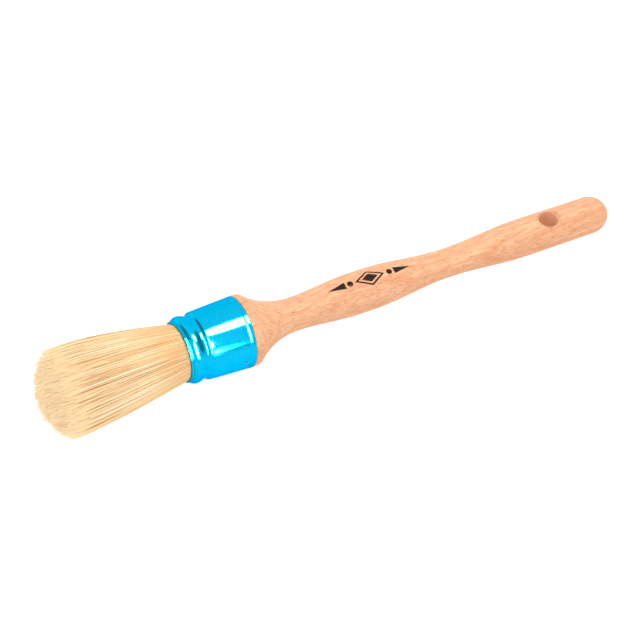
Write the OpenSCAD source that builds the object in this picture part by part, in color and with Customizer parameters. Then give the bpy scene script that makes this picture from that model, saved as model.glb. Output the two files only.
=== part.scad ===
// Round stencil brush: a turned beech handle, a beaded metal ferrule and a domed tuft of bristles.
// The brush lies along X with its tuft towards -X. The origin is the centre of the hanging hole.
// "Along" values run down the brush axis, from the butt end of the handle towards the tuft.

/* [Ferrule] */
// Outer diameter of the body, next to its slightly opened rim
ferrule_d = 30; // [28.5:0.5:32]
// Length of the ferrule along the brush
ferrule_len = 27.5; // [26:0.5:32]
// Thickness of the sheet metal
sheet = 0.5; // [0.4:0.05:0.6]
// Outer diameter where the narrowing body ends at the shoulder, just behind the groove
shoulder_d = 28.3; // [28:0.1:28.5]
// Outer diameter at the bottom of the pressed groove
groove_d = 26.2; // [26:0.1:26.8]
// Outer diameter of the round bead in front of the groove
bead_d = 28.1; // [27.6:0.1:28.5]
// Outer diameter of the rolled front lip
lip_d = 25.8; // [25.4:0.1:26]

/* [Handle] */
// Length of bare wood from the butt end to the ferrule
handle_len = 177; // [160:1:200]
// Diameter of the end that the handle is hung by
butt_d = 16.3; // [15.5:0.1:18]
// Diameter of the slim waist
waist_d = 12.3; // [11:0.1:13.5]
// Diameter of the swelling that the fingers hold
grip_d = 17.7; // [15:0.1:19]
// Diameter of the neck behind the flare
neck_d = 14.1; // [13:0.1:15]
// Diameter of the flare where it meets the ferrule
flare_d = 30.3; // [29.5:0.1:30.3]
// Radius of the hollow curve from the neck out to the flare
cove_r = 31; // [24:0.5:34]
// Length of the tenon that sits inside the ferrule
tenon_len = 13; // [11:0.5:14]

/* [Hanging hole] */
// Diameter of the hole
hole_d = 8.5; // [6:0.1:9]
// Distance from the butt end to the centre of the hole
hole_from_end = 30.5; // [26:0.5:36]

/* [Bristles] */
// Free length from the ferrule's lip to the middle of the domed tip
tuft_len = 60.5; // [50:0.5:70]
// Widest diameter, near the tip
tuft_d = 37.4; // [32:0.1:40]
// Height of the dome that the tip is trimmed to
dome_h = 8; // [4:0.5:10]
// Length of bristle set inside the ferrule
root_len = 12; // [11:0.5:13]
// Diameter of the plug in the middle of the bundle
plug_d = 8; // [5:0.5:12]
// Length of the plug
plug_len = 10; // [6:0.5:14]

/* [Brads] */
// Shank diameter of the two small nails through the ferrule
brad_d = 1.2; // [1:0.1:1.6]
// Length of a shank, measured from the metal inwards
brad_len = 6; // [4:0.5:8]
// Head diameter
brad_head_d = 2.2; // [1.8:0.1:3]
// Distance from the ferrule's rim to a brad
brad_from_rim = 4; // [3:0.5:6]

/* [Hidden] */

$fn = 96;
// Straight pieces in each curved stretch of an outline
curve_steps = 9;

// Along values of the ferrule
rim_at = handle_len;
lip_at = rim_at + ferrule_len;
bead_at = lip_at - 3.5;
groove_at = lip_at - 7.4;
shoulder_at = lip_at - 9;
body_end_at = lip_at - 13;
body_end_r = shoulder_d / 2 + 0.3;
// The last stretch of metal at the rim opens a little, and a short step joins it to the body
rim_turn = 1.9;
rim_step = 0.5;
rim_flare = 0.15;
// The crest of the bead and the roll of the lip are parts of circles
bead_roll = 2.6;
bead_front_angle = 62;
lip_roll = 0.5;
lip_back_angle = -60;
lip_inner_r = lip_d / 2 - lip_roll - sheet;

// Along values of the handle's swells, as shares of its bare length
butt_cap = 8.8;
butt_at = 0.24 * handle_len;
waist_at = 0.454 * handle_len;
grip_start_at = 0.67 * handle_len;
grip_end_at = 0.703 * handle_len;
// The rounded end meets the side at slightly less than the full diameter
butt_cap_r = butt_d / 2 - 0.1;
// A small round-over joins the cove to the straight land next to the ferrule
round_r = 2;
flare_land = 2.5;
flare_angle = acos(1 - (flare_d - neck_d) / 2 / (cove_r + round_r));
cove_at = rim_at - flare_land - (cove_r + round_r) * sin(flare_angle);

// The bore is a plain cylinder up to just under the surface, and a cone eases its mouth from there
hole_wall_half = sqrt(pow(butt_d / 2, 2) - pow(hole_d / 2, 2)) - 0.25;
hole_ease = 3;

// Along values of what is set inside the ferrule
tenon_at = rim_at + tenon_len;
root_at = lip_at - root_len;
bundle_r = groove_d / 2 - sheet;
tip_at = lip_at + tuft_len;
// The trimmed edge of the tuft: where the side stops, and how far the corner rounds over
corner_at = tip_at - dome_h;
tuft_edge_at = corner_at - 2;
corner_drop = 0.8;
// The side of the tuft opens out quickly near the ferrule and more slowly near the tip
flare_power = 1.5;

// Half-cosine step from 0 to 1, level at both ends
function ease(t) = (1 - cos(180 * t)) / 2;

// Outline points are [radius, along]. Each curve leaves its last point to the next stretch.
function swell(r0, a0, r1, a1) =
    [for (i = [0 : curve_steps - 1])
        let (t = i / curve_steps)
        [r0 + (r1 - r0) * ease(t), a0 + (a1 - a0) * t]];

// Part of a circle. Angles run from straight outwards towards the tuft.
function arc(r_mid, a_mid, radius, from, to) =
    [for (i = [0 : curve_steps - 1])
        let (angle = from + (to - from) * i / curve_steps)
        [r_mid + radius * cos(angle), a_mid + radius * sin(angle)]];

// Quarter of an ellipse from a point on the axis up to a full radius
function cap(radius, length) =
    [for (i = [0 : curve_steps - 1])
        let (angle = 90 * i / curve_steps)
        [radius * sin(angle), length * (1 - cos(angle))]];

function reversed(points) = [for (i = [len(points) - 1 : -1 : 0]) points[i]];

// The points of an outline between two along values
function between(points, low, high) = [for (p = points) if (p.y > low && p.y < high) p];

// The outside of the sheet metal from the rim to the lip, moved inwards by an inset
function ferrule_side(inset) = [for (p = concat(
    [[ferrule_d / 2 + rim_flare, rim_at]],
    [[ferrule_d / 2 + rim_flare, rim_at + rim_turn - rim_step]],
    [[ferrule_d / 2, rim_at + rim_turn]],
    [[body_end_r, body_end_at]],
    swell(shoulder_d / 2, shoulder_at, groove_d / 2, groove_at),
    swell(groove_d / 2, groove_at, bead_d / 2, bead_at),
    arc(bead_d / 2 - bead_roll, bead_at, bead_roll, 0, bead_front_angle),
    arc(lip_d / 2 - lip_roll, lip_at - lip_roll, lip_roll, lip_back_angle, 90),
    [[lip_d / 2 - lip_roll, lip_at]]
)) [p.x - inset, p.y]];

// Radius of the inside of the metal at an along value, read off its outline
function inner_r_at(along) =
    let (
        points = ferrule_side(sheet),
        i = max([for (k = [0 : len(points) - 2]) if (points[k].y <= along) k]),
        share = (along - points[i].y) / (points[i + 1].y - points[i].y)
    )
    points[i].x + (points[i + 1].x - points[i].x) * share;

// The bare wood, from the butt end to the ferrule
function handle_side() = concat(
    cap(butt_cap_r, butt_cap),
    swell(butt_cap_r, butt_cap, butt_d / 2, butt_at),
    swell(butt_d / 2, butt_at, waist_d / 2, waist_at),
    swell(waist_d / 2, waist_at, grip_d / 2, grip_start_at),
    swell(grip_d / 2, grip_end_at, neck_d / 2, cove_at),
    arc(neck_d / 2 + cove_r, cove_at, cove_r, 180, 180 - flare_angle),
    arc(flare_d / 2 - round_r, rim_at - flare_land, round_r, -flare_angle, 0),
    [[flare_d / 2, rim_at - flare_land], [flare_d / 2, rim_at]]
);

// The wood inside the ferrule, which follows the metal
function tenon_side() = concat(
    [[inner_r_at(rim_at), rim_at]],
    between(ferrule_side(sheet), rim_at, tenon_at),
    [[inner_r_at(tenon_at), tenon_at], [0, tenon_at]]
);

// The free length of bristle outside the ferrule, from the lip to the trimmed edge
function tuft_free_side() =
    [for (i = [0 : curve_steps])
        let (t = i / curve_steps)
        [lip_inner_r + (tuft_d / 2 - lip_inner_r) * (1 - pow(1 - t, flare_power)),
            lip_at + (tuft_edge_at - lip_at) * t]];

// The domed tip, from the trimmed edge to the middle
function tuft_dome() =
    [for (i = [0 : curve_steps])
        let (share = 1 - i / curve_steps)
        [(tuft_d / 2 - corner_drop) * share, corner_at + dome_h * (1 - share * share)]];

// All the bristles: a parallel bundle up to the groove, then what fills the bead, then the free length
function tuft_side() = concat(
    [[0, root_at], [bundle_r, root_at], [bundle_r, groove_at]],
    between(ferrule_side(sheet), groove_at, lip_at),
    tuft_free_side(),
    tuft_dome()
);

// Turns a module drawn up Z, from the butt end, into its place along the brush
module along_brush() {
    translate([hole_from_end, 0, 0])
        rotate([0, -90, 0])
            children();
}

module turned(points) {
    along_brush()
        rotate_extrude()
            polygon(points);
}

// The drilled hole and the cones that ease its two mouths
module hanging_bore() {
    cylinder(d = hole_d, h = 2 * butt_d, center = true);
    for (side = [0, 1])
        mirror([0, 0, side])
            translate([0, 0, hole_wall_half])
                cylinder(d1 = hole_d, d2 = hole_d + 2 * hole_ease, h = hole_ease);
}

// Places one brad on each side of the ferrule, pointing in from +Y and from -Y
module at_each_brad() {
    for (side = [0, 1])
        mirror([0, side, 0])
            translate([hole_from_end - rim_at - brad_from_rim, 0, 0])
                rotate([-90, 0, 0])
                    children();
}

module brad_shank() {
    translate([0, 0, ferrule_d / 2 - brad_len])
        cylinder(d = brad_d, h = brad_len);
}

module handle() {
    color([0.96, 0.78, 0.60])
        difference() {
            turned(concat(handle_side(), tenon_side()));
            hanging_bore();
            at_each_brad() brad_shank();
        }
}

module ferrule() {
    color([0.02, 0.68, 0.90])
        difference() {
            turned(concat(ferrule_side(0), reversed(ferrule_side(sheet))));
            at_each_brad() brad_shank();
        }
}

module bristle_tuft() {
    color([0.93, 0.79, 0.56])
        difference() {
            turned(tuft_side());
            core_plug_blank();
        }
}

// Resin holds the roots: a disc behind the bundle and a ring round it, up to the groove
module resin_setting() {
    color([0.80, 0.66, 0.40])
        turned(concat(
            [[0, tenon_at], [inner_r_at(tenon_at), tenon_at]],
            between(ferrule_side(sheet), tenon_at, groove_at),
            [[bundle_r, groove_at], [bundle_r, root_at], [0, root_at]]
        ));
}

module core_plug_blank() {
    along_brush()
        translate([0, 0, root_at])
            cylinder(d = plug_d, h = plug_len);
}

module core_plug() {
    color([0.86, 0.74, 0.58])
        core_plug_blank();
}

module ferrule_brads() {
    color([0.75, 0.76, 0.78])
        at_each_brad() {
            brad_shank();
            brad_head();
        }
}

// A low round head. Its underside is hollowed to the curve of the metal that it rests on.
module brad_head() {
    head_h = 0.45;
    hollow_depth = 1;
    overlap = 0.05;
    difference() {
        translate([0, 0, ferrule_d / 2 - hollow_depth])
            cylinder(d = brad_head_d, h = head_h + hollow_depth);
        rotate([0, 90, 0])
            cylinder(d = ferrule_d - overlap, h = 2 * brad_head_d, center = true);
    }
}

handle();
ferrule();
bristle_tuft();
resin_setting();
core_plug();
ferrule_brads();
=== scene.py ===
"""The looks of a round stencil brush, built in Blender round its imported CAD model.

The brush lies along X with its tuft towards -X, and the origin is the centre of its hanging hole.
"Along" values run down the brush axis in millimetres, from the butt end towards the tuft.
"""

import math

import bmesh
import bpy
import numpy as np
from mathutils import Matrix, Vector


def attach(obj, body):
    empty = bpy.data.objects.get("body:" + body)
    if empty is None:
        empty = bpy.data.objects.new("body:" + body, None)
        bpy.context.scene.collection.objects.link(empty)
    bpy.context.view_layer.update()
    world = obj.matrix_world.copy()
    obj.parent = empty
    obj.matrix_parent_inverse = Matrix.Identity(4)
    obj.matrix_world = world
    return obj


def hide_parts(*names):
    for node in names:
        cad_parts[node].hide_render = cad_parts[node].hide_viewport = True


MM = 0.001

# ---------------------------------------------------------------- sizes, in millimetres

HOLE_FROM_END = 30.5
HOLE_R = 4.25
# The bore is a plain cylinder up to this height, and a 45 degree cone eases its mouth from there
HOLE_WALL_HALF = 6.7
MOUTH_ROUNDING = 0.35

HANDLE_LEN = 177.0
BUTT_CAP = 8.8
BUTT_CAP_R = 8.05
BUTT_R = 8.15
BUTT_AT = 0.24 * HANDLE_LEN
WAIST_R = 6.15
WAIST_AT = 0.454 * HANDLE_LEN
GRIP_R = 8.85
GRIP_START_AT = 0.67 * HANDLE_LEN
GRIP_END_AT = 0.703 * HANDLE_LEN
NECK_R = 7.05
# A hollow curve runs from the neck to the flare, and a small round-over joins it to a short land
COVE_R = 31.0
ROUND_R = 2.0
FLARE_R = 15.15
FLARE_LAND = 2.5
# The wood's edge is broken and stops short of the ferrule, which leaves a fine dark line there
EDGE_BREAK = 0.35
EDGE_GAP = 0.25
TENON_LEN = 13.0
TENON_PLAY = 0.05

RIM_AT = HANDLE_LEN
FERRULE_LEN = 27.5
LIP_AT = RIM_AT + FERRULE_LEN
FERRULE_R = 15.0
SHEET = 0.5
# The last stretch of metal next to the wood opens a little. It narrows by RIM_FALL away from the
# rim, and then a short step, which dips at its foot, joins it to the body
RIM_TURN = 1.9
RIM_FLARE = 0.15
RIM_FALL = 0.02
RIM_STEP = 0.5
STEP_DIP = 0.05
# The body narrows evenly to here, and then curves in to the shoulder
BODY_END_AT = LIP_AT - 13.0
BODY_END_R = 14.45
SHOULDER_AT = LIP_AT - 9.0
SHOULDER_R = 14.15
GROOVE_AT = LIP_AT - 7.4
GROOVE_R = 13.1
# The bead's crest is part of a circle, and so is the roll of the lip in front of it
BEAD_AT = LIP_AT - 3.5
BEAD_R = 14.05
BEAD_ROLL = 2.6
BEAD_FRONT_ANGLE = 62
LIP_R = 12.9
LIP_ROLL = 0.5
LIP_BACK_ANGLE = -60

BRAD_FROM_RIM = 4.0
BRAD_R = 0.6
BRAD_LEN = 6.0
BRAD_POINT = 1.0
# The head sits on the narrowing body, so this far inside the ferrule's full radius
BRAD_SEAT = 0.15
BRAD_HEAD_R = 1.1
BRAD_HEAD_H = 0.45
BRAD_HEAD_EDGE = 0.1

TUFT_LEN = 60.5
TUFT_R = 18.7
DOME_H = 8.0
# How much more is trimmed off at the dome's edge
EDGE_DROP = 0.8
ROOT_LEN = 12.0
ROOT_R = 11.7

# ---------------------------------------------------------------- mesh tools


def at(along, y, z):
    """A point in the shared frame, in metres, from millimetres along and across the brush."""
    return Vector(((HOLE_FROM_END - along) * MM, y * MM, z * MM))


def ease(t):
    """Half-cosine step from 0 to 1, level at both ends."""
    return (1 - math.cos(math.pi * t)) / 2


def swell(start, end, steps):
    """Outline points from one (along, radius) to another, without the last one."""
    (a0, r0), (a1, r1) = start, end
    shares = [i / steps for i in range(steps)]
    return [(a0 + (a1 - a0) * t, r0 + (r1 - r0) * ease(t)) for t in shares]


def arc(centre_at, centre_r, radius, start, end, steps):
    """Outline points round part of a circle.

    Angles are in degrees from straight outwards towards the tuft.
    """
    turns = [math.radians(start + (end - start) * i / steps) for i in range(steps + 1)]
    return [(centre_at + radius * math.sin(t), centre_r + radius * math.cos(t)) for t in turns]


def rounded(points, reaches, steps=5):
    """An outline whose inner corners are rounded by quadratic arcs.

    Each arc starts and ends at its own reach from the corner.
    """
    result = [points[0]]
    for before, corner, after, reach in zip(points, points[1:], points[2:], reaches):
        ends = []
        for other in (before, after):
            length = math.dist(corner, other)
            share = min(reach, length / 2) / length
            ends.append([c + (o - c) * share for c, o in zip(corner, other)])
        start, end = ends
        for i in range(steps + 1):
            t = i / steps
            weights = ((1 - t) ** 2, 2 * t * (1 - t), t * t)
            axes = zip(start, corner, end)
            result.append(tuple(sum(w * p for w, p in zip(weights, axis)) for axis in axes))
    return result + [points[-1]]


def stations(start, end, spacing):
    """Evenly spaced along values from start up to end, without end."""
    count = max(1, round((end - start) / spacing))
    return [start + (end - start) * i / count for i in range(count)]


def add_face(bm, corners):
    """A face through these vertices, where one that comes twice counts once."""
    bm.faces.new(list(dict.fromkeys(corners)))


def add_lathe(bm, outline, sides, place, closed):
    """Turns an outline of (along, radius) points into faces.

    A radius of 0 makes a pole, and closed joins the last ring to the first.
    """
    rings = []
    for along, radius in outline:
        count = sides if radius > 0 else 1
        angles = [2 * math.pi * j / sides for j in range(count)]
        points = [place(along, radius * math.cos(a), radius * math.sin(a)) for a in angles]
        rings.append([bm.verts.new(p) for p in points])
    pairs = list(zip(rings, rings[1:]))
    if closed:
        pairs.append((rings[-1], rings[0]))
    for low, high in pairs:
        for j in range(sides):
            k = (j + 1) % sides
            spots = ((low, j), (low, k), (high, k), (high, j))
            add_face(bm, [ring[i % len(ring)] for ring, i in spots])


def join_loops(bm, first, second):
    """A band of faces between two closed loops with the same number of points."""
    for k in range(len(first)):
        after = (k + 1) % len(first)
        bm.faces.new([first[k], first[after], second[after], second[k]])


def shade_smooth(mesh):
    """Smooth shading on every face."""
    mesh.polygons.foreach_set("use_smooth", [True] * len(mesh.polygons))


def finished_mesh(name, bm):
    """A mesh from a bmesh, with outward normals and smooth shading."""
    bmesh.ops.recalc_face_normals(bm, faces=bm.faces)
    mesh = bpy.data.meshes.new(name)
    bm.to_mesh(mesh)
    bm.free()
    shade_smooth(mesh)
    return mesh


def new_object(name, data):
    """A new object in the scene."""
    item = bpy.data.objects.new(name, data)
    bpy.context.scene.collection.objects.link(item)
    return item


def new_piece(name, mesh, material, slot, *replaced):
    """A finished mesh as a piece that rides on the brush."""
    piece = new_object(name, mesh)
    piece.data.materials.append(material)
    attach(piece, "root")
    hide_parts(*replaced)
    return piece


# ---------------------------------------------------------------- handle

HANDLE_SIDES = 128
CAP_STEPS = 14
SHAFT_SPACING = 1.1
FLARE_SPACING = 0.25
EDGE_ANGLES = (0, 30, 60, 90)
# The square of the handle's grid that is cut out round each mouth of the hole, in grid steps
PATCH_RINGS = 12
PATCH_SIDES = 17
PATCH_SPACING = 0.85
# Loops round a mouth, from the square's border to the cone's edge, down the cone and down the bore
BORDER_SHARES = (0.8, 0.62, 0.46, 0.32, 0.2, 0.1, 0.03)
CONE_SHARES = (1.0, 0.9, 0.75, 0.55, 0.35, 0.15, 0.03)
WALL_SHARES = (0.985, 0.95, 0.8, 0.5, 0.2)
EDGE_HALVINGS = 24


def cove_geometry():
    """Where the hollow behind the flare starts, and the angle at which it meets the round-over."""
    angle = math.acos(1 - (FLARE_R - NECK_R) / (COVE_R + ROUND_R))
    start = RIM_AT - FLARE_LAND - (COVE_R + ROUND_R) * math.sin(angle)
    return start, angle


def handle_radius(along):
    """Radius of the bare wood at an along value."""
    if along < BUTT_CAP:
        return BUTT_CAP_R * math.sqrt(1 - (1 - along / BUTT_CAP) ** 2)
    cove_at, angle = cove_geometry()
    swells = [
        (BUTT_CAP, BUTT_CAP_R),
        (BUTT_AT, BUTT_R),
        (WAIST_AT, WAIST_R),
        (GRIP_START_AT, GRIP_R),
        (GRIP_END_AT, GRIP_R),
        (cove_at, NECK_R),
    ]
    for (a0, r0), (a1, r1) in zip(swells, swells[1:]):
        if along < a1:
            return r0 + (r1 - r0) * ease((along - a0) / (a1 - a0))
    if along < cove_at + COVE_R * math.sin(angle):
        return NECK_R + COVE_R - math.sqrt(COVE_R**2 - (along - cove_at) ** 2)
    land_at = RIM_AT - FLARE_LAND
    if along < land_at:
        return FLARE_R - ROUND_R + math.sqrt(ROUND_R**2 - (land_at - along) ** 2)
    return FLARE_R


def handle_outline():
    """The handle's outline of (along, radius) points, and the index of the ring at the hole."""
    turns = [math.pi / 2 * i / CAP_STEPS for i in range(1, CAP_STEPS)]
    cap = [BUTT_CAP * (1 - math.cos(turn)) for turn in turns]
    patch_start = HOLE_FROM_END - PATCH_RINGS * PATCH_SPACING
    patch_end = HOLE_FROM_END + PATCH_RINGS * PATCH_SPACING
    flare_at = RIM_AT - FLARE_LAND - ROUND_R
    edge_at = RIM_AT - EDGE_GAP - EDGE_BREAK
    before = stations(BUTT_CAP, patch_start, SHAFT_SPACING)
    patch = stations(patch_start, patch_end, PATCH_SPACING)
    shaft = stations(patch_end, flare_at, SHAFT_SPACING)
    flare = stations(flare_at, edge_at, FLARE_SPACING)
    outline = [(0, 0)]
    outline += [(a, handle_radius(a)) for a in cap + before + patch + shaft + flare]
    for angle in EDGE_ANGLES:
        turn = math.radians(angle)
        along = edge_at + EDGE_BREAK * math.sin(turn)
        outline.append((along, FLARE_R - EDGE_BREAK * (1 - math.cos(turn))))
    tenon_end = RIM_AT + TENON_LEN
    outline.append((RIM_AT - EDGE_GAP, FERRULE_R - SHEET - TENON_PLAY))
    outline += [(tenon_end, SHOULDER_R - SHEET), (tenon_end, 0)]
    return outline, 1 + len(cap) + len(before) + PATCH_RINGS


def side_height(x, y):
    """Height of the handle's side over a point given in millimetres from the hole's axis."""
    return math.sqrt(handle_radius(HOLE_FROM_END - x) ** 2 - y * y)


def mouth_height(x, y):
    """Height of the wood near a mouth of the hole.

    It is the lower of the handle's side and the mouth's cone, blended where they meet.
    """
    side = side_height(x, y)
    cone = HOLE_WALL_HALF + math.hypot(x, y) - HOLE_R
    share = min(1, max(0, 0.5 + (cone - side) / (2 * MOUTH_ROUNDING)))
    return cone + (side - cone) * share - MOUTH_ROUNDING * share * (1 - share)


def mouth_edge(angle):
    """Distance from the hole's axis at which the cone meets the handle's side, in one direction."""
    low, high = HOLE_R, 2 * HOLE_R
    for _ in range(EDGE_HALVINGS):
        middle = (low + high) / 2
        side = side_height(middle * math.cos(angle), middle * math.sin(angle))
        if HOLE_WALL_HALF + middle - HOLE_R < side:
            low = middle
        else:
            high = middle
    return low


def mouth_loops(bm, border, flip):
    """The loops of wood between a patch's border and the bore, from the border inwards."""
    spokes = [(v.co.x / MM, v.co.y / MM) for v in border]
    angles = [math.atan2(y, x) for x, y in spokes]
    reaches = [math.hypot(x, y) for x, y in spokes]
    edges = [mouth_edge(angle) for angle in angles]
    loops = [border]

    def add_loop(distances, height=None):
        """A loop at these distances from the hole's axis, on the wood if no height is given."""
        loop = []
        for angle, distance in zip(angles, distances):
            x = distance * math.cos(angle)
            y = distance * math.sin(angle)
            z = mouth_height(x, y) if height is None else height
            loop.append(bm.verts.new((x * MM, y * MM, flip * z * MM)))
        loops.append(loop)

    for share in BORDER_SHARES:
        add_loop([edge + (reach - edge) * share for edge, reach in zip(edges, reaches)])
    for share in CONE_SHARES:
        add_loop([HOLE_R + (edge - HOLE_R) * share for edge in edges])
    for share in WALL_SHARES:
        add_loop([HOLE_R] * len(edges), HOLE_WALL_HALF * share)
    return loops


def patch_border():
    """Steps from the hole, in rings and sides, round the border of the square cut out for it."""
    rings, sides = PATCH_RINGS, PATCH_SIDES
    steps = [(k, -sides) for k in range(-rings, rings)]
    steps += [(rings, k) for k in range(-sides, sides)]
    steps += [(-k, sides) for k in range(-rings, rings)]
    steps += [(-rings, -k) for k in range(-sides, sides)]
    return steps


def handle_mesh():
    """The turned handle: a lathe grid with a round bore let into it from above and below."""
    bm = bmesh.new()
    outline, hole_ring = handle_outline()
    sides = HANDLE_SIDES
    top_side = sides // 4
    bottom_side = 3 * sides // 4
    verts = {}

    def vertex(i, j):
        """The grid's vertex at ring i and side j, made when first asked for."""
        along, radius = outline[i]
        j = j % sides if radius > 0 else 0
        if (i, j) not in verts:
            turn = 2 * math.pi * j / sides
            spot = at(along, radius * math.cos(turn), radius * math.sin(turn))
            verts[i, j] = bm.verts.new(spot)
        return verts[i, j]

    def in_patch(i, j):
        """Whether the grid's face at ring i and side j is cut away round the hole."""
        near = hole_ring - PATCH_RINGS <= i < hole_ring + PATCH_RINGS
        return near and (j - top_side + PATCH_SIDES) % (sides // 2) < 2 * PATCH_SIDES

    for i in range(len(outline) - 1):
        for j in range(sides):
            if not in_patch(i, j):
                spots = ((i, j), (i, j + 1), (i + 1, j + 1), (i + 1, j))
                add_face(bm, [vertex(*spot) for spot in spots])
    top = [vertex(hole_ring + i, top_side - s) for i, s in patch_border()]
    bottom = [vertex(hole_ring + i, bottom_side + s) for i, s in patch_border()]
    top_loops = mouth_loops(bm, top, 1)
    bottom_loops = mouth_loops(bm, bottom, -1)
    for loops in (top_loops, bottom_loops):
        for outer, inner in zip(loops, loops[1:]):
            join_loops(bm, outer, inner)
    join_loops(bm, top_loops[-1], bottom_loops[-1])
    return finished_mesh("handle", bm)


# ---------------------------------------------------------------- ferrule and brads

FERRULE_SIDES = 192
BRAD_SIDES = 24
BRAD_HEAD_ANGLES = range(0, 90, 15)
# How far from each corner of the ferrule's outline its rounding starts, from the rim onwards
CORNER_REACHES = (0.15, 0.3, 0.25, 0.3, 4.0)


def ferrule_outside():
    """The outside of the sheet metal from the rim to the lip, as (along, radius) points."""
    rim_r = FERRULE_R + RIM_FLARE
    corners = [
        (RIM_AT, rim_r - SHEET / 2),
        (RIM_AT, rim_r),
        (RIM_AT + RIM_TURN - RIM_STEP, rim_r - RIM_FALL),
        (RIM_AT + RIM_TURN, FERRULE_R - STEP_DIP),
        (RIM_AT + RIM_TURN + RIM_STEP, FERRULE_R),
        (BODY_END_AT, BODY_END_R),
        (SHOULDER_AT, SHOULDER_R),
    ]
    outline = rounded(corners, CORNER_REACHES)[:-1]
    outline += swell((SHOULDER_AT, SHOULDER_R), (GROOVE_AT, GROOVE_R), steps=12)
    outline += swell((GROOVE_AT, GROOVE_R), (BEAD_AT, BEAD_R), steps=16)
    outline += arc(BEAD_AT, BEAD_R - BEAD_ROLL, BEAD_ROLL, 0, BEAD_FRONT_ANGLE, steps=16)
    outline += arc(LIP_AT - LIP_ROLL, LIP_R - LIP_ROLL, LIP_ROLL, LIP_BACK_ANGLE, 90, steps=8)
    return outline


def ferrule_mesh():
    """The sheet-metal ferrule: its outside, and its inside a sheet's thickness further in."""
    outside = ferrule_outside()
    inside = [(a, r - SHEET) for a, r in reversed(outside)]
    bm = bmesh.new()
    add_lathe(bm, outside + inside, FERRULE_SIDES, at, closed=True)
    return finished_mesh("ferrule", bm)


def brads_mesh():
    """Two small nails with low round heads, one on each side of the ferrule."""
    seat = FERRULE_R - BRAD_SEAT
    point = FERRULE_R - BRAD_LEN
    outline = [(point, 0), (point + BRAD_POINT, BRAD_R)]
    outline += [(seat - BRAD_HEAD_EDGE, BRAD_R), (seat - BRAD_HEAD_EDGE, BRAD_HEAD_R)]
    for angle in BRAD_HEAD_ANGLES:
        turn = math.radians(angle)
        outline.append((seat + BRAD_HEAD_H * math.sin(turn), BRAD_HEAD_R * math.cos(turn)))
    outline.append((seat + BRAD_HEAD_H, 0))

    bm = bmesh.new()
    for side in (1, -1):
        def place(out, u, v):
            """A point of the nail on this side, from its distance out and two across it."""
            return at(RIM_AT + BRAD_FROM_RIM + u, side * out, v)

        add_lathe(bm, outline, BRAD_SIDES, place, closed=False)
    return finished_mesh("brads", bm)


# ---------------------------------------------------------------- bristles

BRISTLES = 9000
SEED = 20
GOLDEN_TURN = math.pi * (3 - math.sqrt(5))
# How far a bristle may stray from its place on the spiral, as a share of the bundle's radius
PLACE_JITTER = 0.01
# Neighbouring bristles cling together in locks, the cells of a square grid this many across,
# and each lock has a swing and a length of its own in millimetres, and a shade
LOCKS_ACROSS = 38
LOCK_SWING = 0.2
LOCK_LENGTH = 0.8
LOCK_SHADE = 0.6

# The bundle opens out up to 2 mm behind the dome's edge, until its outermost bristles are this
# far from the axis
SPREAD_LEN = TUFT_LEN - DOME_H - 2.0
SPREAD_R = TUFT_R - 0.3
SPREAD_POWER = 1.5
# How far the tip leans along Y and Z, and how much further the dome reaches at its -Y edge
TUFT_LEAN = (-0.8, -0.55)
DOME_SLANT = 0.3
# How far single bristles stray in and out, to the side, in a bow and in a wave
OUTWARD_SWING = 0.22
SIDEWAYS_SWING = 0.6
SWING_POWER = 1.5
BOW = 0.1
WAVE = 0.08
WAVES = 1.25
# Ends vary a little both ways, and some fall well short
END_VARIATION = 0.6
END_SHORTFALL = 1.5

# Shades are spread evenly over a span round 0, the middle shade, with a little noise
SHADE_SPAN = 3.4
SHADE_NOISE = 0.3
# The dark bristles, those with a low shade, are the finer ones
WIDTH = 0.35
WIDTH_PER_SHADE = 0.045
WIDTH_NOISE = 0.03
# A bristle tapers by this share of its width, and its end is this share of it
TAPER = 0.3
TIP_WIDTH = 0.35
# Rings lie a little closer together towards the tip
RING_POWER = 0.9

# The tuft's meshes: name, shares of the radius they lie between, lengthwise steps and sides
TIERS = (
    ("bristles_outer", 0.84, 1.01, 7, 4),
    ("bristles_middle", 0.6, 0.84, 6, 3),
    ("bristles_core", -1, 0.6, 5, 3),
)


def spread_at(along):
    """Radius of the bundle at along values: even in the ferrule, then opening out to the tip."""
    share = np.clip((along - LIP_AT) / SPREAD_LEN, 0, 1)
    return ROOT_R + (SPREAD_R - ROOT_R) * (1 - (1 - share) ** SPREAD_POWER)


def bristle_places(dice):
    """Each bristle's share of the bundle's radius, its turn about the axis, and its lock."""
    number = np.arange(BRISTLES)
    spiral_share = np.sqrt((number + 0.5) / BRISTLES)
    spiral_turn = number * GOLDEN_TURN
    y = spiral_share * np.cos(spiral_turn) + dice.normal(0, PLACE_JITTER, BRISTLES)
    z = spiral_share * np.sin(spiral_turn) + dice.normal(0, PLACE_JITTER, BRISTLES)
    share = np.minimum(np.hypot(y, z), 1.0)
    turn = np.arctan2(z, y)
    column = np.clip((y + 1) / 2 * LOCKS_ACROSS, 0, LOCKS_ACROSS - 1).astype(int)
    row = np.clip((z + 1) / 2 * LOCKS_ACROSS, 0, LOCKS_ACROSS - 1).astype(int)
    return share, turn, column * LOCKS_ACROSS + row


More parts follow.
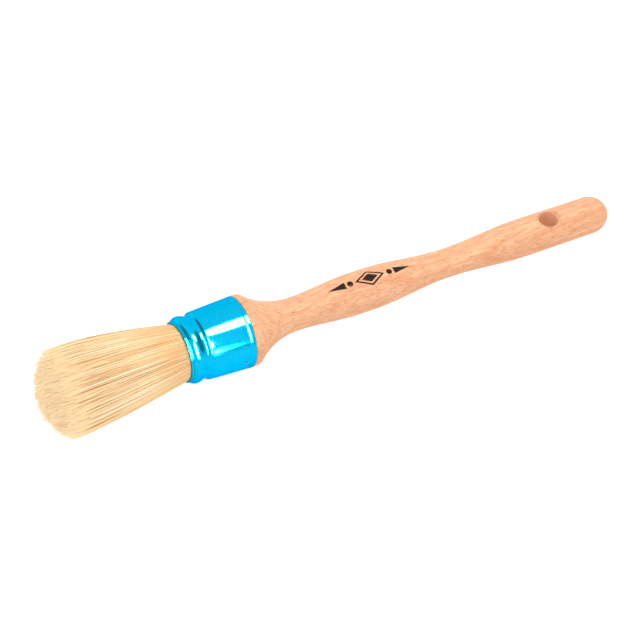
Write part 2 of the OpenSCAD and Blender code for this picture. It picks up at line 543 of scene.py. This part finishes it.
def grown_bristles():
    """The place, sway, end, width and shade of every bristle, as arrays by name."""
    dice = np.random.default_rng(SEED)
    count = BRISTLES
    share, turn, lock = bristle_places(dice)
    lock_swing = dice.normal(0, LOCK_SWING, (LOCKS_ACROSS**2, 2))
    lock_length = dice.normal(0, LOCK_LENGTH, LOCKS_ACROSS**2)
    lock_shade = dice.normal(0, LOCK_SHADE, LOCKS_ACROSS**2)
    outward = np.stack([np.cos(turn), np.sin(turn)], axis=-1)
    sideways = np.stack([-np.sin(turn), np.cos(turn)], axis=-1)
    swing = outward * dice.normal(0, OUTWARD_SWING, (count, 1))
    swing += sideways * dice.normal(0, SIDEWAYS_SWING, (count, 1))
    dome = TUFT_LEN - DOME_H * share**2 - EDGE_DROP * share**8
    ragged = lock_length[lock] + dice.normal(0, END_VARIATION, count)
    ragged -= dice.exponential(END_SHORTFALL, count)
    # The fractions of a root's multiples are spread evenly, so no patch is all dark or all pale
    even = np.arange(count) * math.sqrt(2) % 1 - 0.5
    shade = SHADE_SPAN * even + dice.normal(0, SHADE_NOISE, count)
    return {
        "share": share,
        "turn": turn,
        "swing": lock_swing[lock] + swing,
        "bow": dice.normal(0, BOW, (count, 2)),
        "wave": dice.normal(0, WAVE, (count, 2)),
        "phase": dice.uniform(0, 2 * np.pi, count),
        "end": LIP_AT + dome - DOME_SLANT * share * np.cos(turn) + ragged,
        "width": WIDTH + WIDTH_PER_SHADE * shade + dice.uniform(-WIDTH_NOISE, WIDTH_NOISE, count),
        "shade": shade,
        "lock_shade": lock_shade[lock],
    }


def bristle_lines(bristles, steps):
    """The points down the middle of each bristle.

    They come as each point's reach from the lip (0) to the bristle's end (1), the same for all
    bristles, its along value, and its y and z in millimetres.
    """
    count = len(bristles["share"])
    reach = np.linspace(0, 1, steps + 1) ** RING_POWER
    along = LIP_AT + (bristles["end"] - LIP_AT)[:, None] * reach
    along = np.concatenate([np.full((count, 1), LIP_AT - ROOT_LEN), along], axis=1)
    reach = np.concatenate([[0.0], reach])
    spread = spread_at(along) * bristles["share"][:, None]
    turn = bristles["turn"][:, None]
    across = np.stack([spread * np.cos(turn), spread * np.sin(turn)], axis=-1)
    across += bristles["swing"][:, None, :] * (reach**SWING_POWER)[None, :, None]
    across += bristles["bow"][:, None, :] * np.sin(np.pi * reach)[None, :, None]
    wave = np.sin(2 * np.pi * WAVES * reach[None, :] + bristles["phase"][:, None]) * reach
    across += bristles["wave"][:, None, :] * wave[:, :, None]
    across += np.array(TUFT_LEAN) * (reach**2)[None, :, None]
    return reach, along, across


def tube_points(along, across, radius, sides):
    """Rings of points round the middles of the bristles, in metres."""
    angles = 2 * np.pi * np.arange(sides) / sides
    ring = np.stack([np.cos(angles), np.sin(angles)], axis=-1)
    rings = across[:, :, None, :] + radius[:, :, None, None] * ring
    x = np.broadcast_to(HOLE_FROM_END - along[:, :, None], rings.shape[:3])
    return np.concatenate([x[..., None], rings], axis=-1).reshape(-1, 3) * MM


def tube_faces(index):
    """Sides and end caps of tubes, from the numbers of their points by tube, ring and side."""
    low, high = index[:, :-1], index[:, 1:]
    after_low, after_high = (np.roll(ring, -1, axis=2) for ring in (low, high))
    quads = np.stack([high, after_high, after_low, low], axis=-1).reshape(-1, 4)
    caps = np.concatenate([index[:, 0], index[:, -1, ::-1]])
    return quads.tolist() + caps.tolist()


def bristle_tubes(name, bristles, steps, sides):
    """One mesh of tapered tubes, with each point's shade and reach kept for the material."""
    reach, along, across = bristle_lines(bristles, steps)
    taper = 1 - TAPER * reach**2
    taper[-1] = TIP_WIDTH
    radius = bristles["width"][:, None] / 2 * taper
    points = tube_points(along, across, radius, sides)
    index = np.arange(len(points)).reshape(*along.shape, sides)
    mesh = bpy.data.meshes.new(name)
    mesh.from_pydata(points.tolist(), [], tube_faces(index))
    shade_smooth(mesh)
    # Along its side a bristle has a shade of its own, and towards its tip its lock's shade shows
    shade = bristles["shade"][:, None] + bristles["lock_shade"][:, None] * reach**2
    per_point = {"shade": shade[:, :, None], "reach": reach[None, :, None]}
    for key, values in per_point.items():
        values = np.broadcast_to(values, index.shape).astype(np.float32)
        mesh.attributes.new(key, "FLOAT", "POINT").data.foreach_set("value", values.ravel())
    return mesh


def bristle_meshes():
    """The tuft as three meshes, from its outside to its core."""
    bristles = grown_bristles()
    share = bristles["share"]
    meshes = []
    for name, low, high, steps, sides in TIERS:
        keep = (share > low) & (share <= high)
        tier = {key: values[keep] for key, values in bristles.items()}
        meshes.append(bristle_tubes(name, tier, steps, sides))
    return meshes


# ---------------------------------------------------------------- materials

# The sockets of Blender's mix node that take the share and the two colours, and give the result
MIX_SHARE, MIX_FIRST, MIX_SECOND, MIX_RESULT = 0, 6, 7, 2


class Graph:
    """A material's node graph, with one short call for each kind of node it uses."""

    def __init__(self, name):
        self.material = bpy.data.materials.new(name)
        self.material.use_nodes = True
        self.tree = self.material.node_tree
        self.shader = self.tree.nodes["Principled BSDF"]

    def add(self, kind, inputs, **settings):
        """Adds a node. A socket in inputs is linked, and any other value is set."""
        node = self.tree.nodes.new(kind)
        for key, value in settings.items():
            setattr(node, key, value)
        for key, value in inputs.items():
            self.feed(node.inputs[key], value)
        return node

    def feed(self, socket, value):
        """Links a socket to another one, or sets its value."""
        if isinstance(value, bpy.types.NodeSocket):
            self.tree.links.new(value, socket)
        else:
            socket.default_value = value

    def set_shader(self, **values):
        """Sets or links the shader's sockets, named with _ for a space."""
        for key, value in values.items():
            self.feed(self.shader.inputs[key.replace("_", " ")], value)

    def place(self):
        """Where a point is in the object's own frame, in metres for a piece of the brush."""
        return self.add("ShaderNodeTexCoord", {}).outputs["Object"]

    def split(self, vector):
        """The x, y and z of a vector."""
        return self.add("ShaderNodeSeparateXYZ", {0: vector}).outputs

    def join(self, x, y, z):
        """A vector from x, y and z."""
        return self.add("ShaderNodeCombineXYZ", {0: x, 1: y, 2: z}).outputs[0]

    def math(self, operation, a, b=0.0):
        """One step of arithmetic."""
        return self.add("ShaderNodeMath", {0: a, 1: b}, operation=operation).outputs[0]

    def hypot(self, a, b):
        """The length of a vector from its two parts."""
        squares = self.math("ADD", self.math("POWER", a, 2.0), self.math("POWER", b, 2.0))
        return self.math("SQRT", squares)

    def noise(self, vector, scale, detail=2.0, roughness=0.5):
        """Noise from 0 to 1."""
        inputs = {"Vector": vector, "Scale": scale, "Detail": detail, "Roughness": roughness}
        return self.add("ShaderNodeTexNoise", inputs).outputs[0]

    def between(self, value, low, high, to_low=0.0, to_high=1.0):
        """Maps a value's range onto another one, with soft ends."""
        inputs = {"Value": value, "From Min": low, "From Max": high}
        inputs.update({"To Min": to_low, "To Max": to_high})
        return self.add("ShaderNodeMapRange", inputs, interpolation_type="SMOOTHSTEP").outputs[0]

    def mix(self, share, first, second):
        """A colour part of the way from the first to the second."""
        inputs = {MIX_SHARE: share, MIX_FIRST: first, MIX_SECOND: second}
        return self.add("ShaderNodeMix", inputs, data_type="RGBA").outputs[MIX_RESULT]

    def bump(self, height, distance):
        """A bumped normal. The distance is in metres."""
        return self.add("ShaderNodeBump", {"Height": height, "Distance": distance}).outputs[0]

    def attribute(self, name):
        """A number kept with each point of the mesh."""
        return self.add("ShaderNodeAttribute", {}, attribute_name=name).outputs["Fac"]


def srgb(red, green, blue):
    """A colour given as it looks on a screen, from 0 to 255, as the linear one for shaders."""
    def linear(value):
        """One channel, by the sRGB curve."""
        value = value / 255
        return value / 12.92 if value <= 0.04045 else ((value + 0.055) / 1.055) ** 2.4
    return (linear(red), linear(green), linear(blue), 1.0)


# The printed ornament: its middle, its turn about the axis, and the handle's radius there
MARK_X = -88.0 * MM
MARK_TURN = math.radians(-4.5)
MARK_SIDE_R = 8.7 * MM
# The lozenge's half length and half width, in millimetres
LOZENGE_LEN = 7.0
LOZENGE_WIDTH = 3.7
# As shares of that size: the middle of its outline, half the outline's thickness, and its heart
LOZENGE_LINE = 0.88
LOZENGE_LINE_HALF = 0.11
LOZENGE_HEART = 0.55
# About how many millimetres the whole of that size is
LOZENGE_SCALE = 4.0
# The dots and the rules, in millimetres from the middle. A rule tapers out to its far end
DOT_AT = 9.2
DOT_R = 1.3
RULE_START = 11.4
RULE_END = 19.5
RULE_SLOPE = 0.2
INK_EDGE = 0.08


def printed_mark(g, x, y, z):
    """Where the ink of the ornament is: a double lozenge between two dots and two tapered rules."""
    along = g.math("ABSOLUTE", g.math("MULTIPLY", g.math("SUBTRACT", x, MARK_X), 1 / MM))
    turn = g.math("SUBTRACT", g.math("ARCTAN2", y, z), MARK_TURN)
    around = g.math("ABSOLUTE", g.math("MULTIPLY", turn, MARK_SIDE_R / MM))
    length_share = g.math("DIVIDE", along, LOZENGE_LEN)
    width_share = g.math("DIVIDE", around, LOZENGE_WIDTH)
    lozenge = g.math("ADD", length_share, width_share)
    from_line = g.math("ABSOLUTE", g.math("SUBTRACT", lozenge, LOZENGE_LINE))
    line = g.math("SUBTRACT", LOZENGE_LINE_HALF, from_line)
    heart = g.math("SUBTRACT", LOZENGE_HEART, lozenge)
    shapes = g.math("MULTIPLY", g.math("MAXIMUM", line, heart), LOZENGE_SCALE)
    from_dot = g.hypot(g.math("SUBTRACT", along, DOT_AT), around)
    dot = g.math("SUBTRACT", DOT_R, from_dot)
    taper = g.math("MULTIPLY", g.math("SUBTRACT", RULE_END, along), RULE_SLOPE)
    beyond_start = g.math("SUBTRACT", along, RULE_START)
    rule = g.math("MINIMUM", g.math("SUBTRACT", taper, around), beyond_start)
    shapes = g.math("MAXIMUM", shapes, g.math("MAXIMUM", dot, rule))
    return g.between(shapes, -INK_EDGE, INK_EDGE)


# Where the tree's pith was, in metres, and how many annual rings there are to a metre
PITH_Y = 0.052
PITH_Z = -0.031
RINGS_PER_METRE = 420.0
# The rings wander by up to this much, in patches of this scale, and lean off the brush's axis
RING_WANDER = 0.006
RING_WANDER_SCALE = 26.0
RING_LEAN = 0.03
# The distance from the pith at which turns round it count as metres
TURN_R = 0.06


def tree_frame(g, x, y, z):
    """How far a point is from the tree's pith, and how far round it, in metres."""
    off_y = g.math("SUBTRACT", y, PITH_Y)
    off_z = g.math("SUBTRACT", z, PITH_Z)
    wander = g.math("MULTIPLY", g.noise(g.place(), RING_WANDER_SCALE), RING_WANDER)
    radial = g.math("ADD", g.hypot(off_y, off_z), wander)
    radial = g.math("ADD", radial, g.math("MULTIPLY", x, RING_LEAN))
    around = g.math("MULTIPLY", g.math("ARCTAN2", off_z, off_y), TURN_R)
    return radial, around


def bare_beech(g, x, y, z):
    """The colour of the bare wood, with its fibres and pores as numbers from 0 to 1."""
    radial, around = tree_frame(g, x, y, z)

    def grain(along, across, turned, detail=2.0, roughness=0.5):
        """Noise in cells of so many to a metre along the brush, across the rings and round them."""
        spot = g.join(
            g.math("MULTIPLY", x, along),
            g.math("MULTIPLY", radial, across),
            g.math("MULTIPLY", around, turned),
        )
        return g.noise(spot, 1.0, detail, roughness)

    ring = g.between(g.math("FRACT", g.math("MULTIPLY", radial, RINGS_PER_METRE)), 0.45, 1.0)
    broad = grain(14.0, 200.0, 110.0, 3.0)
    streak = grain(45.0, 700.0, 420.0, 3.0, 0.6)
    fibres = grain(120.0, 2100.0, 2100.0, 3.0, 0.6)
    fleck = g.between(grain(330.0, 1100.0, 2400.0), 0.54, 0.7)
    pores = g.between(grain(260.0, 3000.0, 3000.0, 1.0), 0.6, 0.72)
    # From broad to fine: bands, annual rings, pale and dark streaks, fibres, flecks and pores
    base = g.mix(g.between(broad, 0.35, 0.65), srgb(233, 173, 131), srgb(238, 184, 143))
    base = g.mix(g.math("MULTIPLY", ring, 0.4), base, srgb(222, 138, 88))
    base = g.mix(g.between(streak, 0.5, 0.72, 0.0, 0.5), base, srgb(250, 212, 166))
    base = g.mix(g.between(streak, 0.5, 0.28, 0.0, 0.4), base, srgb(220, 142, 94))
    base = g.mix(g.between(fibres, 0.42, 0.68, 0.0, 0.6), base, srgb(220, 146, 98))
    base = g.mix(g.math("MULTIPLY", fleck, 0.7), base, srgb(212, 134, 84))
    base = g.mix(g.math("MULTIPLY", pores, 0.6), base, srgb(188, 116, 72))
    return base, fibres, pores


def beech():
    """Satin beech with soft streaks, ray flecks and fine pores, the printed ornament, and painted
    light on the wall of the bore.
    """
    g = Graph("beech")
    x, y, z = g.split(g.place())
    base, fibres, pores = bare_beech(g, x, y, z)
    # The ink is worn along some of the fibres
    wear = g.between(fibres, 0.6, 0.74, 1.0, 0.4)
    ink = g.math("MULTIPLY", printed_mark(g, x, y, z), wear)
    base = g.mix(ink, base, srgb(36, 22, 16))
    # The wall of the bore is painted paler: painted light that lifts the shade inside the hole
    bore_painted_light = g.between(g.hypot(x, y), HOLE_R * MM * 1.01, HOLE_R * MM * 1.06, 0.6, 0.0)
    base = g.mix(bore_painted_light, base, srgb(255, 214, 184))
    g.set_shader(Base_Color=base, Roughness=g.between(fibres, 0.2, 0.8, 0.42, 0.56))
    g.set_shader(Specular_IOR_Level=g.between(ink, 0.0, 1.0, 0.5, 0.15))
    height = g.math("SUBTRACT", g.math("MULTIPLY", fibres, 0.5), pores)
    g.set_shader(Normal=g.bump(height, 0.00003))
    return g.material


def blue_metal():
    """Bright blue metal under clear lacquer, with a faint mottle and fine orange peel."""
    g = Graph("blue_metal")
    mottle = g.noise(g.place(), 900.0, 3.0)
    peel = g.noise(g.place(), 1100.0)
    deep, light = (0.003, 0.49, 0.82, 1.0), (0.006, 0.53, 0.86, 1.0)
    base = g.mix(g.between(mottle, 0.35, 0.65), deep, light)
    g.set_shader(Base_Color=base, Metallic=1.0, Roughness=g.between(mottle, 0.2, 0.8, 0.04, 0.06))
    # Keeps the reflections at the metal's edges blue too
    g.set_shader(Specular_Tint=(0.2, 0.62, 0.85, 1.0))
    g.set_shader(Normal=g.bump(peel, 0.000003))
    return g.material


def bristle():
    """Natural bristle: ginger to cream from hair to hair, with painted shade that makes it darker
    and warmer at the root, and paler at the tip, partly as painted light.
    """
    g = Graph("bristle")
    shade = g.attribute("shade")
    reach = g.attribute("reach")
    base = g.mix(g.between(shade, -1.9, -1.0), srgb(200, 134, 70), srgb(246, 209, 153))
    base = g.mix(g.between(shade, -0.6, 1.8), base, srgb(255, 237, 202))
    # Painted shade: darker and warmer towards the root, next to the ferrule's lip
    base = g.mix(g.between(reach, 0.0, 0.5, 0.6, 0.0), base, srgb(228, 172, 104))
    # Paler towards the tip: flagged ends are paler, and this is also painted light that lifts the
    # shade between the tips
    base = g.mix(g.between(reach, 0.8, 1.0, 0.0, 0.6), base, srgb(255, 232, 190))
    blotch = g.noise(g.place(), 260.0)
    base = g.mix(g.between(blotch, 0.5, 0.8, 0.0, 0.1), base, srgb(240, 190, 116))
    g.set_shader(Base_Color=base, Roughness=g.between(blotch, 0.2, 0.8, 0.38, 0.5))
    return g.material


def resin():
    """Amber setting resin, clouded and slightly uneven."""
    g = Graph("resin")
    cloud = g.noise(g.place(), 320.0, 3.0)
    base = g.mix(g.between(cloud, 0.3, 0.7), srgb(196, 150, 84), srgb(226, 190, 124))
    g.set_shader(Base_Color=base, Roughness=g.between(cloud, 0.2, 0.8, 0.3, 0.5))
    g.set_shader(Normal=g.bump(cloud, 0.0001))
    return g.material


def plug_wood():
    """Plain softwood of the plug, with straight grain."""
    g = Graph("plug_wood")
    x, y, z = g.split(g.place())
    stretched = g.join(g.math("MULTIPLY", x, 90.0), g.math("MULTIPLY", y, 1500.0), z)
    grain = g.noise(stretched, 1.0, 3.0)
    base = g.mix(g.between(grain, 0.3, 0.7), srgb(206, 168, 120), srgb(232, 204, 160))
    g.set_shader(Base_Color=base, Roughness=g.between(grain, 0.2, 0.8, 0.6, 0.75))
    g.set_shader(Normal=g.bump(grain, 0.00005))
    return g.material


def brad_steel():
    """Steel of the brads under the ferrule's lacquer, finely pitted."""
    g = Graph("brad_steel")
    pits = g.noise(g.place(), 2600.0, 3.0)
    base = g.mix(g.between(pits, 0.3, 0.7), srgb(20, 150, 205), srgb(40, 180, 225))
    g.set_shader(Base_Color=base, Metallic=1.0, Roughness=g.between(pits, 0.2, 0.8, 0.2, 0.35))
    g.set_shader(Normal=g.bump(pits, 0.00001))
    return g.material


# ---------------------------------------------------------------- studio, in metres

CAMERA_AZIMUTH = math.radians(-36.99)
CAMERA_ELEVATION = math.radians(50.88)
CAMERA_ROLL = math.radians(11.62)
CAMERA_DISTANCE = 0.950
CAMERA_AIM = Vector((-0.1117, -0.00486, -0.00316))

FLOOR_R = 1.6
FLOOR_SIDES = 64
CARD_SIDES = 32
# A card keeps its own shade out to this share of its radius, and fades to the room's white
CARD_CORE = 0.5
ROOM_WHITE = 0.95
GLOW_FADE_POWER = 4.0

WHITE = (1.0, 1.0, 1.0, 1.0)
UP = (0, 0, 1)


def direction(azimuth, elevation):
    """Unit vector from the brush outwards. Azimuth 0 is -Y, and 90 degrees is +X."""
    flat = math.cos(elevation)
    return Vector((math.sin(azimuth) * flat, -math.cos(azimuth) * flat, math.sin(elevation)))


def make_camera():
    """A long lens that looks down on the brush from the tuft's side."""
    data = bpy.data.cameras.new("camera")
    data.sensor_width = 36.0
    data.lens = 130.9
    data.clip_start = 0.05
    data.clip_end = 20.0
    camera = new_object("camera", data)
    back = direction(CAMERA_AZIMUTH, CAMERA_ELEVATION)
    turned = back.to_track_quat("Z", "Y").to_matrix().to_4x4()
    moved = Matrix.Translation(CAMERA_AIM + back * CAMERA_DISTANCE)
    camera.matrix_world = moved @ turned @ Matrix.Rotation(CAMERA_ROLL, 4, "Z")
    bpy.context.scene.camera = camera


def make_floor():
    """A plain pale floor that touches the tuft's widest ring and the end of the butt."""
    tuft_x = (HOLE_FROM_END - LIP_AT - TUFT_LEN + DOME_H) * MM
    tuft_r = TUFT_R * MM
    butt_x = (HOLE_FROM_END - BUTT_CAP) * MM
    butt_r = BUTT_CAP_R * MM
    slope = (tuft_r - butt_r) / (butt_x - tuft_x)
    height_at_origin = -tuft_r - slope * tuft_x
    bm = bmesh.new()
    for j in range(FLOOR_SIDES):
        turn = 2 * math.pi * j / FLOOR_SIDES
        x = FLOOR_R * math.cos(turn)
        y = FLOOR_R * math.sin(turn)
        bm.verts.new((x, y, height_at_origin + slope * x))
    bm.faces.new(bm.verts)
    mesh = bpy.data.meshes.new("floor")
    bm.to_mesh(mesh)
    bm.free()
    floor = new_object("floor", mesh)
    g = Graph("floor_paint")
    g.set_shader(Base_Color=(0.9, 0.9, 0.9, 1.0), Roughness=0.9, Specular_IOR_Level=0.1)
    floor.data.materials.append(g.material)
    return floor


def facing(aim, towards, distance):
    """Places something flat so that it faces a point, with its long side along the brush."""
    towards = Vector(towards).normalized()
    long_side = (Vector((1, 0, 0)) - towards * towards.x).normalized()
    turned = Matrix((long_side, towards.cross(long_side), towards)).transposed().to_4x4()
    return Matrix.Translation(Vector(aim) + towards * distance) @ turned


def light_only(lamp, pieces):
    """Makes a lamp light these pieces and nothing else."""
    group = bpy.data.collections.new(lamp.name + "_receivers")
    for piece in pieces:
        group.objects.link(piece)
    lamp.light_linking.receiver_collection = group


def softbox(name, aim, towards, distance, length, width, radiance, only_for, bounces=True):
    """An oval lamp that faces a point, for some of the objects.

    Without bounces it only counts where the camera looks straight at what it lights.
    """
    data = bpy.data.lights.new(name, "AREA")
    data.shape = "ELLIPSE"
    data.size = length
    data.size_y = width
    area = math.pi * length * width / 4
    data.energy = radiance * math.pi * area
    lamp = new_object(name, data)
    lamp.matrix_world = facing(aim, towards, distance)
    lamp.visible_camera = False
    if not bounces:
        data.cycles.max_bounces = 0
    light_only(lamp, only_for)


def wash(name, towards, radiance, only_for, bounces=True):
    """Even parallel light that casts no shadow.

    Without bounces it only counts where the camera looks straight at what it lights.
    """
    data = bpy.data.lights.new(name, "SUN")
    data.energy = radiance * math.pi
    data.use_shadow = False
    if not bounces:
        data.cycles.max_bounces = 0
    lamp = new_object(name, data)
    lamp.matrix_world = Vector(towards).to_track_quat("Z", "Y").to_matrix().to_4x4()
    light_only(lamp, only_for)


def plate_mesh(name):
    """A flat round plate with a radius of 1."""
    bm = bmesh.new()
    for j in range(CARD_SIDES):
        turn = 2 * math.pi * j / CARD_SIDES
        bm.verts.new((math.cos(turn), math.sin(turn), 0))
    bm.faces.new(bm.verts)
    return finished_mesh(name, bm)


def card_paint(name, shade, glow):
    """A card's material: one shade in the middle, the room's white at the edge, and a soft glow."""
    g = Graph(name)
    length = g.add("ShaderNodeVectorMath", {0: g.place()}, operation="LENGTH")
    from_middle = length.outputs["Value"]
    g.set_shader(Base_Color=g.between(from_middle, CARD_CORE, 1.0, shade, ROOM_WHITE))
    g.set_shader(Roughness=1.0, Specular_IOR_Level=0.0)
    if glow:
        inwards = g.math("SUBTRACT", 1.0, g.math("MINIMUM", from_middle, 1.0))
        fade = g.math("POWER", inwards, GLOW_FADE_POWER)
        g.set_shader(Emission_Color=WHITE, Emission_Strength=g.math("MULTIPLY", fade, glow))
    return g.material


def card(name, aim, towards, distance, length, width, shade, glow=0.0, only_for=()):
    """An oval card with a soft edge that shows up only in reflections.

    Its middle is grey, or glows for some of the objects.
    """
    plate = new_object(name, plate_mesh(name))
    plate.data.materials.append(card_paint(name + "_paint", shade, glow))
    size = Matrix.Diagonal((length / 2, width / 2, 1, 1))
    plate.matrix_world = facing(aim, towards, distance) @ size
    plate.visible_camera = False
    plate.visible_diffuse = False
    plate.visible_shadow = False
    if glow:
        light_only(plate, only_for)


def mirrored(turn, lean):
    """The direction of something that the ferrule mirrors to the camera.

    It is turned up the picture from the side nearest the camera, and leans along the brush
    towards the butt, both in degrees. The ferrule's body mirrors what leans by about 15.
    """
    view = direction(CAMERA_AZIMUTH, CAMERA_ELEVATION)
    nearest = Vector((0, view.y, view.z)).normalized()
    upward = nearest.cross(Vector((1, 0, 0)))
    turn = math.radians(turn)
    lean = math.radians(lean)
    across = math.cos(turn) * nearest + math.sin(turn) * upward
    return Vector((math.sin(lean), 0, 0)) + math.cos(lean) * across


def make_room():
    """An even white room round everything."""
    scene = bpy.context.scene
    scene.view_settings.view_transform = "Standard"
    world = bpy.data.worlds.new("room")
    world.use_nodes = True
    background = world.node_tree.nodes["Background"]
    background.inputs["Color"].default_value = WHITE
    background.inputs["Strength"].default_value = 1.0
    scene.world = world


def make_lights(ferrule, floor, tuft, others):
    """Lamps for the wood, the tuft and the floor, and the lamps and cards the ferrule mirrors."""
    middle = at((RIM_AT + LIP_AT) / 2, 0, 0)
    # Name, what it faces, its direction, distance, length and width, then its radiance or shade
    softbox("overhead", middle, (0.3, 0.1, 1), 0.9, 1.1, 0.7, 1.6, others)
    softbox("streak", middle, mirrored(28, 21), 0.7, 0.5, 0.3, 240.0, [ferrule], bounces=False)
    softbox("front", middle, mirrored(-12, -10), 0.7, 0.5, 0.75, 240.0, [ferrule], bounces=False)
    wash("floor_wash", UP, 0.25, [floor])
    wash("backdrop_wash", UP, 0.5, [floor], bounces=False)
    wash("tuft_wash", (-0.9, -0.4, 0.6), 0.36, tuft)
    card("dark_right", middle, mirrored(15, 66), 0.7, 0.7, 1.0, 0.3)
    card("dark_left", middle, mirrored(90, -55), 0.7, 0.7, 1.2, 0.3)
    card("dark_line", middle, mirrored(-46, 20), 0.69, 1.0, 0.05, 0.5)
    card("glow", middle, mirrored(-38, 11.2), 0.72, 0.17, 0.42, 0.95, 250.0, [ferrule])


# ---------------------------------------------------------------- the whole brush

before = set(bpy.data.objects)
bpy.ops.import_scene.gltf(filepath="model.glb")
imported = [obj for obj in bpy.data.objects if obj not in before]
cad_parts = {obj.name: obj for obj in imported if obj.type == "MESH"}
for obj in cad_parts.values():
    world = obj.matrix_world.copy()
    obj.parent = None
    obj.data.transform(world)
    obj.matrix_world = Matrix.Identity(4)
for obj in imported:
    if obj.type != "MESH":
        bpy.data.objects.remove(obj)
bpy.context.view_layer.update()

handle = new_piece("turned_handle", handle_mesh(), beech(), "beech", "handle")
ferrule = new_piece("pressed_ferrule", ferrule_mesh(), blue_metal(), "blue_metal", "ferrule")
brads = new_piece("brads", brads_mesh(), brad_steel(), "brad_steel", "ferrule_brads")
hair = bristle()
tuft = [new_piece(mesh.name, mesh, hair, "bristle", "bristle_tuft") for mesh in bristle_meshes()]
for node, finish in (("resin_setting", resin()), ("core_plug", plug_wood())):
    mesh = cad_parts[node].data
    mesh.materials.clear()
    mesh.materials.append(finish)

make_camera()
make_room()
floor = make_floor()
make_lights(ferrule, floor, tuft, [handle, brads, *tuft])
